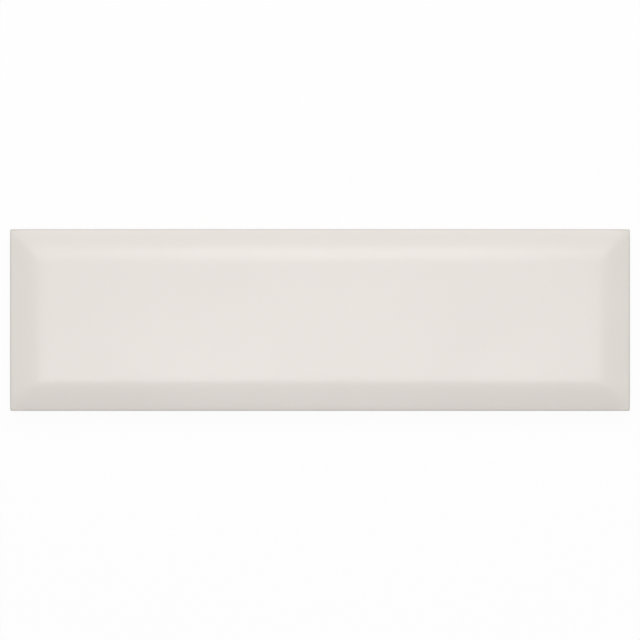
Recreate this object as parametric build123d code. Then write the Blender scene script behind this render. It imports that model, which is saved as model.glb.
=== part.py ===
from build123d import *
import math
import os

# Bevelled wall tile: one pressed and glazed piece, lying on its back with its face up.
# X runs along the long side, Y along the short side and Z up through the thickness.
# The origin is the centre of the back, on the plane of the ribs that the tile lies on.

# Work size, in millimetres
tile_length = 290.0
tile_width = 85.0
tile_thickness = 9.0  # from the back's ribs to the flat of the face

# Face: a flat panel, with a bevel falling from it to all four edges
edge_height = 6.0  # from the back to the foot of the bevel
bevel_width = 12.0  # from the tile's edge to the ridge, in plan
face_rounding = 22.0  # radius that the glaze gives to the ridge and to the mitres between bevels

# Edges
arris_radius = 0.5  # glazed arris between bevel and edge
back_chamfer = 0.5  # pressed chamfer round the back
corner_ease = 0.1  # how much rounder the tile's corners are, in plan, than its arris or chamfer

# Back: square recesses between ribs, which key into the adhesive
recess_size = 10.0  # across the mouth
recess_depth = 0.8
recess_draft = 35.0  # degrees that the recess walls lean from upright
rib_width = 2.5
back_margin = 6.0  # least width of the plain band round the recesses

# Derived sizes
corner_radius = max(arris_radius, back_chamfer) + corner_ease
bevel_drop = tile_thickness - edge_height
bevel_slope = math.atan2(bevel_drop, bevel_width)  # from level, in radians
bevel_overrun = bevel_width * edge_height / bevel_drop  # past the tile's edge, down at the back's plane
ridge_reach = face_rounding * math.tan(bevel_slope / 2)  # from the ridge to where its rounding starts
recess_pitch = recess_size + rib_width


def bevelled_block():
    """The flat and its bevels, carried past the tile's edges and the back, with ridge and mitres rounded.

    It starts as a sharp core, smaller by the rounding's radius, and is grown by that radius all round.
    """
    margin = bevel_overrun - ridge_reach
    foot = Rectangle(tile_length + 2 * margin, tile_width + 2 * margin)
    lean_from_upright = 90 - math.degrees(bevel_slope)
    core = Pos(0, 0, -face_rounding) * extrude(foot, tile_thickness, taper=lean_from_upright)
    return offset(core, amount=face_rounding, kind=Kind.ARC)


def pressed_body():
    """The block cut to the tile's outline, with the glazed arris and the chamfer round the back."""
    block = bevelled_block()
    outline = extrude(RectangleRounded(tile_length, tile_width, corner_radius), tile_thickness)
    body = block & outline
    body = fillet(new_edges(block, outline, combined=body), arris_radius)
    back_edges = body.faces().sort_by(Axis.Z)[0].edges()
    return chamfer(back_edges, back_chamfer)


def recess_count(side):
    """How many recesses fit along a side, between the plain bands."""
    return int((side - 2 * back_margin + rib_width) // recess_pitch)


def back_recesses():
    """The grid of drafted recesses, centred on the back."""
    recess = extrude(Rectangle(recess_size, recess_size), recess_depth, taper=recess_draft)
    columns = recess_count(tile_length)
    rows = recess_count(tile_width)
    return [place * recess for place in GridLocations(recess_pitch, recess_pitch, columns, rows)]


wall_tile = pressed_body() - back_recesses()

os.makedirs("parts", exist_ok=True)
export_step(wall_tile, "parts/wall_tile.step")
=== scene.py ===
import math

import bpy
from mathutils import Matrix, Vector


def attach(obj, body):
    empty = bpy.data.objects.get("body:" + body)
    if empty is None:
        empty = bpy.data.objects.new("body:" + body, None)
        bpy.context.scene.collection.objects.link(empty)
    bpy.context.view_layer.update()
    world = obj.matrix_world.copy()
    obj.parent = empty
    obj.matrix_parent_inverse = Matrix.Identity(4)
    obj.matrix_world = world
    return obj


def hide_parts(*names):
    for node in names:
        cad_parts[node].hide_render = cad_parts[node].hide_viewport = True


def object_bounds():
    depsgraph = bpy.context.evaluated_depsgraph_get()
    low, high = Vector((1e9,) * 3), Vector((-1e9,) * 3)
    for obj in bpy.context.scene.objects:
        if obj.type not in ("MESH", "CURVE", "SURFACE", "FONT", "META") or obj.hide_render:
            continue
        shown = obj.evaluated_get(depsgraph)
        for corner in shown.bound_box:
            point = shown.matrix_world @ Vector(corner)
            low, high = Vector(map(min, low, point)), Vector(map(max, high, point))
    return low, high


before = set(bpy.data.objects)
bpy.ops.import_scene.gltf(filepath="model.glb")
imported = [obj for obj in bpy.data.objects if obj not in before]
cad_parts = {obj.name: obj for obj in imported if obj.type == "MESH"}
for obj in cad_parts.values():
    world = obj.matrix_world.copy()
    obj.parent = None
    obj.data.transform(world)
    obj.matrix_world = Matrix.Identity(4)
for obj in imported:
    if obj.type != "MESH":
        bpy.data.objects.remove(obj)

mm = 0.001
cadLow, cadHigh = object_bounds()
scene = bpy.context.scene

# sockets that go by number, because others on their node have the same name
colourA, colourB, colourOut = 6, 7, 2  # Mix, set to colours
vectorIn, vectorFromLow, vectorFromHigh, vectorToHigh = 6, 7, 8, 10  # Map Range, set to vectors
countA, countB = 2, 3  # Compare, set to whole numbers


def linear(hexColour):  # sRGB hex to the linear RGBA that sockets take
    parts = [int(hexColour[i:i + 2], 16) / 255 for i in (1, 3, 5)]
    return tuple(c / 12.92 if c <= 0.04045 else ((c + 0.055) / 1.055) ** 2.4 for c in parts) + (1.0,)


def addNode(tree, kind, inputs=None, **settings):  # an input is a node, a socket, a list of those, or a value
    node = tree.nodes.new(kind)
    for name, value in settings.items():
        setattr(node, name, value)
    for key, value in (inputs or {}).items():
        for source in value if isinstance(value, list) else [value]:
            if isinstance(source, bpy.types.Node):
                source = source.outputs[0]
            if isinstance(source, bpy.types.NodeSocket):
                tree.links.new(source, node.inputs[key])
            else:
                node.inputs[key].default_value = source
    return node


def newMaterial(name):
    material = bpy.data.materials.new(name)
    material.use_nodes = True
    material.node_tree.nodes.clear()
    return material, material.node_tree


# Fired opaque satin glaze: a warm white glass with broad soft highlights, faintly clouded where the coat
# lies heavier, and greyer in a hairline over the arris: partly the glaze thinning out, partly painted shade.
glazeLook = {
    "colour": "#E2DDD7",
    "cloudColour": "#DFD9D3",
    # painted shade: this darker colour stands in for the arris's shadow, as well as for the glaze thinning
    # there
    "thinAndShadeColour": "#CCC6BF",
    "ior": 1.52,
    "roughness": 0.22,
    "cloudRoughness": 0.26,
    "cloudSize": 45 * mm,
    "cloudDetail": 3.0,
    "peelSize": 2.4 * mm,  # orange peel: really under 1 mm, drawn coarser so that it shows
    "peelDetail": 1.0,
    "peelHeight": 0.004 * mm,
}


def makeGlaze():
    look = glazeLook
    material, tree = newMaterial("fired_satin_glaze")
    place = addNode(tree, "ShaderNodeTexCoord").outputs["Object"]
    cloud = addNode(
        tree, "ShaderNodeTexNoise",
        {"Vector": place, "Scale": 1 / look["cloudSize"], "Detail": look["cloudDetail"]},
    )
    coat = addNode(
        tree, "ShaderNodeMix",
        {"Factor": cloud, colourA: linear(look["colour"]), colourB: linear(look["cloudColour"])},
        data_type="RGBA",
    ).outputs[colourOut]
    # the arris hairline: thinner glaze plus painted shade of the arris
    thinAndShade = addNode(tree, "ShaderNodeAttribute", attribute_name="glazeThin").outputs["Fac"]
    colour = addNode(
        tree, "ShaderNodeMix",
        {"Factor": thinAndShade, colourA: coat, colourB: linear(look["thinAndShadeColour"])},
        data_type="RGBA",
    ).outputs[colourOut]
    gloss = addNode(
        tree, "ShaderNodeMapRange",
        {"Value": cloud, "To Min": look["roughness"], "To Max": look["cloudRoughness"]},
    )
    peel = addNode(
        tree, "ShaderNodeTexNoise",
        {"Vector": place, "Scale": 1 / look["peelSize"], "Detail": look["peelDetail"]},
    )
    bump = addNode(tree, "ShaderNodeBump", {"Height": peel, "Distance": look["peelHeight"]})
    shader = addNode(
        tree, "ShaderNodeBsdfPrincipled",
        {"Base Color": colour, "Roughness": gloss, "IOR": look["ior"], "Normal": bump},
    )
    addNode(tree, "ShaderNodeOutputMaterial", {"Surface": shader})
    return material


# Dry-pressed earthenware biscuit: chalky cream, matt, with a fine sandy grain, faint firing clouds
# and a few dark specks of grog.
biscuitLook = {
    "colour": "#E0D2BD",
    "cloudColour": "#C5B49D",
    "grogColour": "#B9A488",
    "ior": 1.5,
    "roughness": 0.88,
    "cloudSize": 30 * mm,
    "cloudDetail": 7.0,  # each step halves the size, and seven reach down to the sand
    "cloudGrit": 0.75,  # how strong the small steps are
    "grainSize": 0.9 * mm,  # pressed grain: really about 0.3 mm, drawn coarser so that it shows
    "grainDetail": 3.0,
    "grainHeight": 0.05 * mm,
    "grogSpacing": 3.5 * mm,
    "grogCore": 0.06,  # a speck's dark middle and its rim, as shares of the spacing
    "grogRim": 0.14,
    "grogStrength": 0.7,
}


def makeBiscuit():
    look = biscuitLook
    material, tree = newMaterial("dry_pressed_biscuit")
    place = addNode(tree, "ShaderNodeTexCoord").outputs["Object"]
    cloud = addNode(
        tree, "ShaderNodeTexNoise",
        {
            "Vector": place,
            "Scale": 1 / look["cloudSize"],
            "Detail": look["cloudDetail"],
            "Roughness": look["cloudGrit"],
        },
    )
    clay = addNode(
        tree, "ShaderNodeMix",
        {"Factor": cloud, colourA: linear(look["colour"]), colourB: linear(look["cloudColour"])},
        data_type="RGBA",
    ).outputs[colourOut]
    speck = addNode(tree, "ShaderNodeTexVoronoi", {"Vector": place, "Scale": 1 / look["grogSpacing"]})
    grog = addNode(
        tree, "ShaderNodeMapRange",
        {
            "Value": speck.outputs["Distance"],
            "From Min": look["grogCore"],
            "From Max": look["grogRim"],
            "To Min": look["grogStrength"],
            "To Max": 0.0,
        },
    )
    colour = addNode(
        tree, "ShaderNodeMix",
        {"Factor": grog, colourA: clay, colourB: linear(look["grogColour"])},
        data_type="RGBA",
    ).outputs[colourOut]
    grain = addNode(
        tree, "ShaderNodeTexNoise",
        {"Vector": place, "Scale": 1 / look["grainSize"], "Detail": look["grainDetail"]},
    )
    bump = addNode(tree, "ShaderNodeBump", {"Height": grain, "Distance": look["grainHeight"]})
    shader = addNode(
        tree, "ShaderNodeBsdfPrincipled",
        {"Base Color": colour, "Roughness": look["roughness"], "IOR": look["ior"], "Normal": bump},
    )
    addNode(tree, "ShaderNodeOutputMaterial", {"Surface": shader})
    return material


# The tile: its outer size comes from the CAD box, and lengths are in metres.
glazedTile = {
    "sizes": {  # inputs of the shape's node tree
        "Length": cadHigh.x - cadLow.x,
        "Width": cadHigh.y - cadLow.y,
        "Thickness": cadHigh.z - cadLow.z,
        "Edge Height": 6.0 * mm,
        "Bevel Width": 12.0 * mm,
        "Bevel Crown": 0.1 * mm,  # how far the middle of a bevel stands proud of straight
        "Ridge Softness": 6.0 * mm,  # how far each way the ridge's rounding reaches
        "Mitre Softness": 2.5 * mm,  # the same for a mitre, beside the ridge
        "Mitre Spread": 13.0 * mm,  # how much softer a mitre is at the tile's corner
        "Arris Radius": 0.5 * mm,
        "Edge Roll": 0.2 * mm,  # how far the glaze rolls down along the bevel's foot
        "Roll Width": 4.0 * mm,
        "Thin And Shade Width": 1.0 * mm,  # how far in from the edge the glaze lies thin, with the arris's shade painted over the same band
        "Glaze Line": 2.6 * mm,  # height that the glaze runs down to on the edges
        "Glaze Wave": 0.9 * mm,
        "Glaze Lip": 0.15 * mm,  # how far the glaze stands proud of the body
        "Back Chamfer": 0.5 * mm,
        "Recess Size": 10.0 * mm,
        "Recess Floor": 8.88 * mm,
        "Recess Depth": 0.8 * mm,
        "Recess Corner": 0.8 * mm,
        "Recess Ease": 0.12 * mm,  # rounding of a recess's lip and floor
        "Recess Pitch": 12.5 * mm,
    },
    "flatCells": (110, 26),  # cells of the face's grid, along the tile and across
    "bevelCells": 30,
    "arrisCells": 6,
    "recesses": (22, 6),
    "recessCornerSteps": 3,
    "waveLength": 11 * mm,
    "waveDetail": 2.0,
    "waveSeed": 7.0,
    "weldGap": 0.002 * mm,  # points nearer than this become one
    "creaseAngle": math.radians(30),  # faces that meet more sharply keep a crisp edge
}


def facePlan(tree, size, half, share, flatEnd, bevelEnd):
    # wide cells on the flat, close ones over ridge and bevel, closest round the arris
    reach = addNode(
        tree, "ShaderNodeMath", {0: size["Bevel Width"], 1: size["Ridge Softness"]}, operation="ADD"
    )
    flat = addNode(tree, "ShaderNodeVectorMath", {0: half, 1: reach}, operation="SUBTRACT")
    slant = addNode(tree, "ShaderNodeMath", {0: reach, 1: size["Arris Radius"]}, operation="SUBTRACT")
    onFlat = addNode(
        tree, "ShaderNodeMapRange",
        {vectorIn: share, vectorFromHigh: (*flatEnd, 1.0), vectorToHigh: flat},
        data_type="FLOAT_VECTOR",
    ).outputs["Vector"]
    onBevel = addNode(
        tree, "ShaderNodeMapRange",
        {
            vectorIn: share,
            vectorFromLow: (*flatEnd, 0.0),
            vectorFromHigh: (*bevelEnd, 1.0),
            vectorToHigh: slant,
        },
        data_type="FLOAT_VECTOR",
    ).outputs["Vector"]
    turn = addNode(
        tree, "ShaderNodeMapRange",
        {
            vectorIn: share,
            vectorFromLow: (*bevelEnd, 0.0),
            vectorFromHigh: (1.0, 1.0, 1.0),
            vectorToHigh: (math.pi / 2,) * 3,
        },
        data_type="FLOAT_VECTOR",
    ).outputs["Vector"]
    sine = addNode(tree, "ShaderNodeVectorMath", {0: turn}, operation="SINE")
    onArris = addNode(
        tree, "ShaderNodeVectorMath", {0: sine, "Scale": size["Arris Radius"]}, operation="SCALE"
    )

    # the outline's corner is drawn in from square to round
    arris = addNode(tree, "ShaderNodeSeparateXYZ", {0: onArris}).outputs
    out = addNode(tree, "ShaderNodeMath", {0: arris["X"], 1: arris["Y"]}, operation="MAXIMUM")
    diagonal = addNode(tree, "ShaderNodeVectorMath", {0: onArris}, operation="LENGTH").outputs["Value"]
    drawIn = addNode(tree, "ShaderNodeMath", {0: out, 1: diagonal}, operation="DIVIDE")
    rounded = addNode(tree, "ShaderNodeVectorMath", {0: onArris, "Scale": drawIn}, operation="SCALE")
    inner = addNode(tree, "ShaderNodeVectorMath", {0: onFlat, 1: onBevel}, operation="ADD")
    plan = addNode(tree, "ShaderNodeVectorMath", {0: inner, 1: rounded}, operation="ADD")
    return plan, out


def faceHeight(tree, size, edge, depth, slope):
    # two bevels meet in a soft mitre, softer towards the tile's corner
    bevels = [
        addNode(
            tree, "ShaderNodeMath",
            {0: edge[axis], 1: slope, 2: size["Edge Height"]},
            operation="MULTIPLY_ADD",
        )
        for axis in "XY"
    ]
    spread = addNode(
        tree, "ShaderNodeMapRange",
        {"Value": depth, "From Max": size["Bevel Width"], "To Min": size["Mitre Spread"], "To Max": 0.0},
    )
    mitre = addNode(tree, "ShaderNodeMath", {0: size["Mitre Softness"], 1: spread}, operation="ADD")
    mitreFall = addNode(tree, "ShaderNodeMath", {0: mitre, 1: slope}, operation="MULTIPLY")
    hip = addNode(
        tree, "ShaderNodeMath", {0: bevels[0], 1: bevels[1], 2: mitreFall}, operation="SMOOTH_MIN"
    )

    # each bevel is crowned along its middle: 4 t (1 - t) is 1 halfway up
    rise = addNode(
        tree, "ShaderNodeMapRange",
        {"Value": hip, "From Min": size["Edge Height"], "From Max": size["Thickness"]},
    )
    left = addNode(tree, "ShaderNodeMath", {0: 1.0, 1: rise}, operation="SUBTRACT")
    bow = addNode(tree, "ShaderNodeMath", {0: rise, 1: left}, operation="MULTIPLY")
    crown = addNode(tree, "ShaderNodeMath", {0: size["Bevel Crown"], 1: 4.0}, operation="MULTIPLY")
    crowned = addNode(tree, "ShaderNodeMath", {0: bow, 1: crown, 2: hip}, operation="MULTIPLY_ADD")

    # and they meet the flat in a soft ridge
    ridgeFall = addNode(tree, "ShaderNodeMath", {0: size["Ridge Softness"], 1: slope}, operation="MULTIPLY")
    face = addNode(
        tree, "ShaderNodeMath", {0: crowned, 1: size["Thickness"], 2: ridgeFall}, operation="SMOOTH_MIN"
    )
    return face, hip


def edgeFall(tree, size, hip, slope, out):
    # the glaze rolls down along the bevel's foot
    rollTop = addNode(
        tree, "ShaderNodeMath",
        {0: size["Roll Width"], 1: slope, 2: size["Edge Height"]},
        operation="MULTIPLY_ADD",
    )
    rollShare = addNode(
        tree, "ShaderNodeMapRange",
        {"Value": hip, "From Min": size["Edge Height"], "From Max": rollTop, "To Min": 1.0, "To Max": 0.0},
    )
    rollCurve = addNode(tree, "ShaderNodeMath", {0: rollShare, 1: rollShare}, operation="MULTIPLY")
    roll = addNode(tree, "ShaderNodeMath", {0: rollCurve, 1: size["Edge Roll"]}, operation="MULTIPLY")

    # the arris: how far an arc that is tangent to the bevel lies under it, in radii
    secantSquare = addNode(tree, "ShaderNodeMath", {0: slope, 1: slope, 2: 1.0}, operation="MULTIPLY_ADD")
    secant = addNode(tree, "ShaderNodeMath", {0: secantSquare}, operation="SQRT")
    touch = addNode(tree, "ShaderNodeMath", {0: slope, 1: secant}, operation="DIVIDE")
    radii = addNode(
        tree, "ShaderNodeMath", {0: out, 1: size["Arris Radius"]}, operation="DIVIDE", use_clamp=True
    )
    square = addNode(tree, "ShaderNodeMath", {0: radii, 1: radii}, operation="MULTIPLY")
    arcSquare = addNode(tree, "ShaderNodeMath", {0: 1.0, 1: square}, operation="SUBTRACT", use_clamp=True)
    arc = addNode(tree, "ShaderNodeMath", {0: arcSquare}, operation="SQRT")
    lean = addNode(tree, "ShaderNodeMath", {0: radii, 1: slope}, operation="MULTIPLY")
    tangent = addNode(tree, "ShaderNodeMath", {0: secant, 1: lean}, operation="SUBTRACT")
    under = addNode(tree, "ShaderNodeMath", {0: tangent, 1: arc}, operation="SUBTRACT")
    past = addNode(tree, "ShaderNodeMath", {0: radii, 1: touch}, operation="GREATER_THAN")
    fall = addNode(tree, "ShaderNodeMath", {0: under, 1: past}, operation="MULTIPLY")
    return addNode(
        tree, "ShaderNodeMath", {0: fall, 1: size["Arris Radius"], 2: roll}, operation="MULTIPLY_ADD"
    )


def faceSheet(tree, size, half):  # the glazed face: a grid from -1 to 1 that is bent to the bevels by rule
    border = 2 * (glazedTile["bevelCells"] + glazedTile["arrisCells"])
    cells = [n + border for n in glazedTile["flatCells"]]
    flatEnd = [n / c for n, c in zip(glazedTile["flatCells"], cells)]
    bevelEnd = [1 - 2 * glazedTile["arrisCells"] / c for c in cells]
    grid = addNode(
        tree, "GeometryNodeMeshGrid",
        {"Size X": 2.0, "Size Y": 2.0, "Vertices X": cells[0] + 1, "Vertices Y": cells[1] + 1},
    )
    place = addNode(tree, "GeometryNodeInputPosition")
    share = addNode(tree, "ShaderNodeVectorMath", {0: place}, operation="ABSOLUTE")
    side = addNode(tree, "ShaderNodeVectorMath", {0: place}, operation="SIGN")
    plan, out = facePlan(tree, size, half, share, flatEnd, bevelEnd)

    toEdge = addNode(tree, "ShaderNodeVectorMath", {0: half, 1: plan}, operation="SUBTRACT")
    edge = addNode(tree, "ShaderNodeSeparateXYZ", {0: toEdge}).outputs
    depth = addNode(tree, "ShaderNodeMath", {0: edge["X"], 1: edge["Y"]}, operation="MINIMUM")
    drop = addNode(
        tree, "ShaderNodeMath", {0: size["Thickness"], 1: size["Edge Height"]}, operation="SUBTRACT"
    )
    slope = addNode(tree, "ShaderNodeMath", {0: drop, 1: size["Bevel Width"]}, operation="DIVIDE")
    face, hip = faceHeight(tree, size, edge, depth, slope)
    fall = edgeFall(tree, size, hip, slope, out)
    height = addNode(tree, "ShaderNodeMath", {0: face, 1: fall}, operation="SUBTRACT")

    signed = addNode(tree, "ShaderNodeVectorMath", {0: plan, 1: side}, operation="MULTIPLY")
    spot = addNode(tree, "ShaderNodeSeparateXYZ", {0: signed}).outputs
    bent = addNode(tree, "ShaderNodeCombineXYZ", {"X": spot["X"], "Y": spot["Y"], "Z": height})
    # 1 at the edge, fading inwards: the band where the glaze thins and the arris's shade is painted
    thinAndShade = addNode(
        tree, "ShaderNodeMapRange",
        {"Value": depth, "From Max": size["Thin And Shade Width"], "To Min": 1.0, "To Max": 0.0},
        interpolation_type="SMOOTHSTEP",
    )
    marked = addNode(
        tree, "GeometryNodeStoreNamedAttribute",
        {"Geometry": grid, "Name": "glazeThin", "Value": thinAndShade},
        data_type="FLOAT", domain="POINT",
    )
    return addNode(tree, "GeometryNodeSetPosition", {"Geometry": marked, "Position": bent})


def edgeWalls(tree, size, half, sheet):  # the edges, drawn down from the arris loop by loop
    place = addNode(tree, "GeometryNodeInputPosition")
    neighbours = addNode(tree, "GeometryNodeInputMeshEdgeNeighbors")
    loop = addNode(
        tree, "FunctionNodeCompare", {countA: neighbours, countB: 1}, data_type="INT", operation="EQUAL"
    )
    noise = addNode(
        tree, "ShaderNodeTexNoise",
        {
            "Vector": place,
            "W": glazedTile["waveSeed"],
            "Scale": 1 / glazedTile["waveLength"],
            "Detail": glazedTile["waveDetail"],
        },
        noise_dimensions="4D",
    )
    wave = addNode(tree, "ShaderNodeMath", {0: noise, 1: 0.5}, operation="SUBTRACT")  # up and down alike
    ending = addNode(
        tree, "ShaderNodeMath",
        {0: wave, 1: size["Glaze Wave"], 2: size["Glaze Line"]},
        operation="MULTIPLY_ADD",
    )
    bead = addNode(tree, "ShaderNodeMath", {0: ending, 1: size["Glaze Lip"]}, operation="ADD")
    noInset = (0.0, 0.0, 0.0)
    steps = [  # height of the loop, how far in it goes, and if the wall above it is bare body
        (bead, noInset, False),
        (ending, size["Glaze Lip"], False),
        (size["Back Chamfer"], noInset, True),
        (0.0, size["Back Chamfer"], True),
    ]
    walls = sheet
    for height, inset, bare in steps:
        drawn = addNode(
            tree, "GeometryNodeExtrudeMesh",
            {"Mesh": walls, "Selection": loop, "Offset Scale": 0.0},
            mode="EDGES",
        ).outputs
        shrink = addNode(tree, "ShaderNodeVectorMath", {0: inset, 1: half}, operation="DIVIDE")
        keep = addNode(tree, "ShaderNodeVectorMath", {0: (1.0, 1.0, 1.0), 1: shrink}, operation="SUBTRACT")
        moved = addNode(tree, "ShaderNodeVectorMath", {0: place, 1: keep}, operation="MULTIPLY")
        spot = addNode(tree, "ShaderNodeSeparateXYZ", {0: moved}).outputs
        level = addNode(tree, "ShaderNodeCombineXYZ", {"X": spot["X"], "Y": spot["Y"], "Z": height})
        placed = addNode(
            tree, "GeometryNodeSetPosition",
            {"Geometry": drawn["Mesh"], "Selection": drawn["Top"], "Position": level},
        )
        walls = addNode(
            tree, "GeometryNodeStoreNamedAttribute",
            {"Geometry": placed, "Selection": drawn["Side"], "Name": "unglazed", "Value": bare},
            data_type="BOOLEAN", domain="FACE",
        )
        loop = drawn["Top"]
    return walls, loop


def backRecesses(tree, size):  # shallow pans, one for each recess, open at the back's plane
    mouth = addNode(
        tree, "GeometryNodeCurvePrimitiveQuadrilateral",
        {"Width": size["Recess Size"], "Height": size["Recess Size"]},
        mode="RECTANGLE",
    )
    eased = addNode(
        tree, "GeometryNodeFilletCurve",
        {"Curve": mouth, "Radius": size["Recess Corner"], "Count": glazedTile["recessCornerSteps"]},
        mode="POLY",
    )
    pan = addNode(tree, "GeometryNodeFillCurve", {"Curve": eased}, mode="NGONS")
    ease = size["Recess Ease"]
    lip = addNode(tree, "ShaderNodeMath", {0: size["Recess Size"], 1: ease}, operation="SUBTRACT")
    foot = addNode(tree, "ShaderNodeMath", {0: size["Recess Floor"], 1: ease}, operation="ADD")
    wall = addNode(tree, "ShaderNodeMath", {0: size["Recess Depth"], 1: ease}, operation="SUBTRACT")
    steps = [  # height and width: lip, foot of the wall, floor
        (ease, lip),
        (wall, foot),
        (size["Recess Depth"], size["Recess Floor"]),
    ]
    place = addNode(tree, "GeometryNodeInputPosition")
    top, before = True, size["Recess Size"]
    for height, width in steps:
        drawn = addNode(
            tree, "GeometryNodeExtrudeMesh",
            {"Mesh": pan, "Selection": top, "Offset Scale": 0.0, "Individual": False},
            mode="FACES",
        ).outputs
        top = drawn["Top"]
        narrow = addNode(tree, "ShaderNodeMath", {0: width, 1: before}, operation="DIVIDE")
        moved = addNode(tree, "ShaderNodeVectorMath", {0: place, "Scale": narrow}, operation="SCALE")
        spot = addNode(tree, "ShaderNodeSeparateXYZ", {0: moved}).outputs
        level = addNode(tree, "ShaderNodeCombineXYZ", {"X": spot["X"], "Y": spot["Y"], "Z": height})
        pan = addNode(
            tree, "GeometryNodeSetPosition", {"Geometry": drawn["Mesh"], "Selection": top, "Position": level}
        )
        before = width
    pan = addNode(tree, "GeometryNodeFlipFaces", {"Mesh": pan})
    columns, rows = glazedTile["recesses"]
    spans = [
        addNode(tree, "ShaderNodeMath", {0: size["Recess Pitch"], 1: count - 1.0}, operation="MULTIPLY")
        for count in (columns, rows)
    ]
    centres = addNode(
        tree, "GeometryNodeMeshGrid",
        {"Size X": spans[0], "Size Y": spans[1], "Vertices X": columns, "Vertices Y": rows},
    )
    pans = addNode(tree, "GeometryNodeInstanceOnPoints", {"Points": centres, "Instance": pan})
    return addNode(tree, "GeometryNodeRealizeInstances", {"Geometry": pans})


def unglazedBack(tree, size, walls, backLoop):  # the back's plane, filled round the mouths of the recesses
    pans = backRecesses(tree, size)
    neighbours = addNode(tree, "GeometryNodeInputMeshEdgeNeighbors")
    rim = addNode(
        tree, "FunctionNodeCompare", {countA: neighbours, countB: 1}, data_type="INT", operation="EQUAL"
    )
    outer = addNode(tree, "GeometryNodeMeshToCurve", {"Mesh": walls, "Selection": backLoop})
    mouths = addNode(tree, "GeometryNodeMeshToCurve", {"Mesh": pans, "Selection": rim})
    loops = addNode(tree, "GeometryNodeJoinGeometry", {"Geometry": [outer, mouths]})
    filled = addNode(tree, "GeometryNodeFillCurve", {"Curve": loops}, mode="TRIANGLES")
    plane = addNode(tree, "GeometryNodeFlipFaces", {"Mesh": filled})
    back = addNode(tree, "GeometryNodeJoinGeometry", {"Geometry": [plane, pans]})
    return addNode(
        tree, "GeometryNodeStoreNamedAttribute",
        {"Geometry": back, "Name": "unglazed", "Value": True},
        data_type="BOOLEAN", domain="FACE",
    )


def tileTree(glaze, biscuit):
    tree = bpy.data.node_groups.new("glazed_tile_shape", "GeometryNodeTree")
    tree.interface.new_socket("Geometry", in_out="OUTPUT", socket_type="NodeSocketGeometry")
    inputs = {
        name: tree.interface.new_socket(name, in_out="INPUT", socket_type="NodeSocketFloat")
        for name in glazedTile["sizes"]
    }
    size = addNode(tree, "NodeGroupInput").outputs
    whole = addNode(tree, "ShaderNodeCombineXYZ", {"X": size["Length"], "Y": size["Width"], "Z": 1.0})
    half = addNode(tree, "ShaderNodeVectorMath", {0: whole, "Scale": 0.5}, operation="SCALE")
    sheet = faceSheet(tree, size, half)
    walls, backLoop = edgeWalls(tree, size, half, sheet)
    back = unglazedBack(tree, size, walls, backLoop)
    joined = addNode(tree, "GeometryNodeJoinGeometry", {"Geometry": [walls, back]})
    closed = addNode(
        tree, "GeometryNodeMergeByDistance", {"Geometry": joined, "Distance": glazedTile["weldGap"]}
    )

    # smooth all over, apart from the creases
    angle = addNode(tree, "GeometryNodeInputMeshEdgeAngle").outputs["Unsigned Angle"]
    crease = addNode(
        tree, "ShaderNodeMath", {0: angle, 1: glazedTile["creaseAngle"]}, operation="GREATER_THAN"
    )
    smooth = addNode(tree, "GeometryNodeSetShadeSmooth", {"Geometry": closed}, domain="FACE")
    creased = addNode(
        tree, "GeometryNodeSetShadeSmooth",
        {"Geometry": smooth, "Selection": crease, "Shade Smooth": False},
        domain="EDGE",
    )
    plain = addNode(tree, "GeometryNodeRealizeInstances", {"Geometry": creased})
    unglazed = addNode(
        tree, "GeometryNodeInputNamedAttribute", {"Name": "unglazed"}, data_type="BOOLEAN"
    ).outputs["Attribute"]
    coated = addNode(tree, "GeometryNodeSetMaterial", {"Geometry": plain, "Material": glaze})
    dressed = addNode(
        tree, "GeometryNodeSetMaterial", {"Geometry": coated, "Selection": unglazed, "Material": biscuit}
    )
    addNode(tree, "NodeGroupOutput", {"Geometry": dressed})
    return tree, inputs


def makeTile(glaze, biscuit):
    tile = bpy.data.objects.new("glazed_tile", bpy.data.meshes.new("glazed_tile"))
    scene.collection.objects.link(tile)
    tree, inputs = tileTree(glaze, biscuit)
    shape = tile.modifiers.new("shape", "NODES")
    shape.node_group = tree
    for name, socket in inputs.items():
        shape[socket.identifier] = glazedTile["sizes"][name]
    evaluated = tile.evaluated_get(bpy.context.evaluated_depsgraph_get())
    mesh = bpy.data.meshes.new_from_object(evaluated)
    tile.modifiers.remove(shape)
    mesh.materials.pop(index=0)  # the empty slot that a grid starts with
    tile.data = mesh
    return tile


# Studio: an even white surround, two soft boxes overhead, three on the far side and a small card on the near.
studio = {
    "skyColour": "#FFFFFF",
    "worldLight": 0.413,
    "floorSide": 24.0,
    "floorColour": "#F4F4F4",
    "floorWhite": 0.92,  # share of the floor that the eye sees as plain white; the rest takes the shadow
    "shadowFade": (0.18, 0.6),  # between these distances from its middle the floor goes over to plain white
    "clearGap": 2.0 * mm,  # the floor is clear to light from the tile's back, which lies closer than this
    # lean is in degrees from overhead to the far side; lamps in one line hang at their own distances,
    # because of two lamps in one plane a reflection shows only one
    "lamps": {
        "overhead_box": {"lean": -4.5, "distance": 1.1, "size": (0.8, 0.21), "watts": 1.3},
        "overhead_strip": {"lean": -4.5, "distance": 1.15, "size": (3.1, 0.22), "watts": 1.8},
        "far_box": {"lean": 17.0, "distance": 1.1, "size": (1.2, 0.43), "watts": 1.78},
        "far_core": {"lean": 17.0, "distance": 1.05, "size": (0.48, 0.41), "watts": 1.19},
        "low_panel": {"lean": 55.0, "distance": 1.1, "size": (1.4, 0.51), "watts": 3.58},
        "near_card": {"lean": -31.0, "distance": 1.1, "size": (0.3, 0.35), "watts": 0.2},
    },
}


def seenRay(tree, ray):  # 1 where the eye meets the background: straight on, in a reflection or through glass
    seen = addNode(
        tree, "ShaderNodeMath", {0: ray["Is Camera Ray"], 1: ray["Is Glossy Ray"]}, operation="MAXIMUM"
    )
    return addNode(tree, "ShaderNodeMath", {0: seen, 1: ray["Is Transmission Ray"]}, operation="MAXIMUM")


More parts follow.
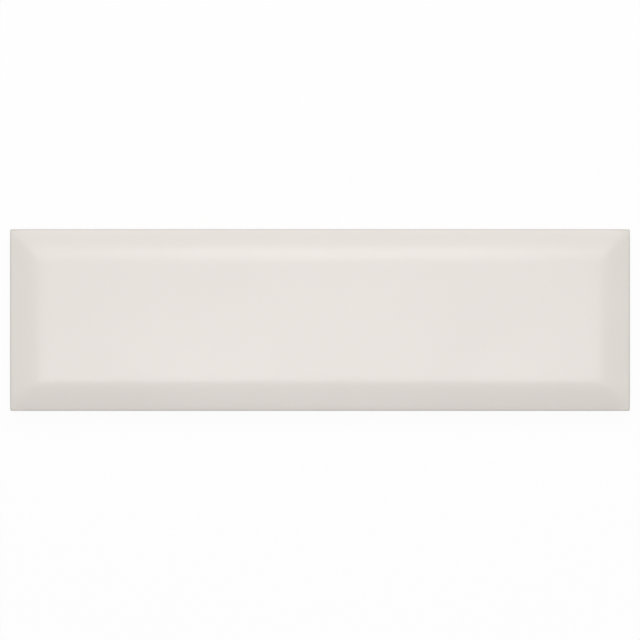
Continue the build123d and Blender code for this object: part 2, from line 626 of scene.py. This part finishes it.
def makeSurround():
    world = bpy.data.worlds.new("studio")
    scene.world = world
    world.use_nodes = True
    tree = world.node_tree
    tree.nodes.clear()
    seen = seenRay(tree, addNode(tree, "ShaderNodeLightPath").outputs)
    level = addNode(
        tree, "ShaderNodeMapRange", {"Value": seen, "To Min": studio["worldLight"], "To Max": 1.0}
    )
    sky = addNode(tree, "ShaderNodeBackground", {"Color": linear(studio["skyColour"]), "Strength": level})
    addNode(tree, "ShaderNodeOutputWorld", {"Surface": sky})


def makePaper():  # white to the eye, and shaded only near the tile
    material, tree = newMaterial("white_paper_floor")
    ray = addNode(tree, "ShaderNodeLightPath").outputs
    spot = addNode(tree, "ShaderNodeTexCoord").outputs["Object"]
    away = addNode(tree, "ShaderNodeVectorMath", {0: spot}, operation="LENGTH").outputs["Value"]
    near, far = studio["shadowFade"]
    fade = addNode(
        tree, "ShaderNodeMapRange",
        {"Value": away, "From Min": near, "From Max": far, "To Min": studio["floorWhite"], "To Max": 1.0},
    )
    share = addNode(tree, "ShaderNodeMath", {0: seenRay(tree, ray), 1: fade}, operation="MULTIPLY")
    shaded = addNode(tree, "ShaderNodeBsdfDiffuse", {"Color": linear(studio["floorColour"])})
    white = addNode(tree, "ShaderNodeEmission")
    upper = addNode(tree, "ShaderNodeMixShader", {0: share, 1: shaded, 2: white})

    # clear from below and right under the tile, so that the back can be seen and gets light
    below = addNode(tree, "ShaderNodeNewGeometry").outputs["Backfacing"]
    close = addNode(
        tree, "ShaderNodeMath", {0: ray["Ray Length"], 1: studio["clearGap"]}, operation="LESS_THAN"
    )
    gone = addNode(tree, "ShaderNodeMath", {0: below, 1: close}, operation="MAXIMUM")
    clear = addNode(tree, "ShaderNodeBsdfTransparent")
    surface = addNode(tree, "ShaderNodeMixShader", {0: gone, 1: upper, 2: clear})
    addNode(tree, "ShaderNodeOutputMaterial", {"Surface": surface})
    return material


def makeFloor():
    half = studio["floorSide"] / 2
    corners = [(-half, -half, 0), (half, -half, 0), (half, half, 0), (-half, half, 0)]
    mesh = bpy.data.meshes.new("floor")
    mesh.from_pydata(corners, [], [(0, 1, 2, 3)])
    mesh.materials.append(makePaper())
    floor = bpy.data.objects.new("floor", mesh)
    scene.collection.objects.link(floor)


def hangLamps():
    for name, lamp in studio["lamps"].items():
        data = bpy.data.lights.new(name, "AREA")
        data.shape = "RECTANGLE"
        data.size, data.size_y = lamp["size"]
        data.energy = lamp["watts"]
        box = bpy.data.objects.new(name, data)
        scene.collection.objects.link(box)
        lean = math.radians(lamp["lean"])
        box.location = (0.0, lamp["distance"] * math.sin(lean), lamp["distance"] * math.cos(lean))
        box.rotation_euler.x = -lean


# Camera: straight above the face, far enough off for a nearly flat view.
cameraView = {
    "lens": 100.0,
    "sensor": 36.0,
    "pictureSide": 640,  # pixels
    "tilePixels": 620,  # the tile's length in the picture
    "outlineHeight": 5.5 * mm,  # where the tile is widest
}


def makeCamera():
    look = cameraView
    data = bpy.data.cameras.new("camera")
    data.lens, data.sensor_width = look["lens"], look["sensor"]
    across = glazedTile["sizes"]["Length"] * look["pictureSide"] / look["tilePixels"]
    camera = bpy.data.objects.new("camera", data)
    scene.collection.objects.link(camera)
    camera.location = (0.0, 0.0, look["outlineHeight"] + across * look["lens"] / look["sensor"])
    scene.camera = camera


scene.view_settings.view_transform = "Standard"
glaze, biscuit = makeGlaze(), makeBiscuit()
print("materials:", glaze.name, "and", biscuit.name)
tile = makeTile(glaze, biscuit)
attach(tile, "root")
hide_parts("wall_tile")
print("tile:", len(tile.data.vertices), "points,", len(tile.data.polygons), "faces")
makeSurround()
makeFloor()
hangLamps()
print("studio:", len(studio["lamps"]), "lamps")
makeCamera()
print("camera at", [round(v, 3) for v in scene.camera.location])
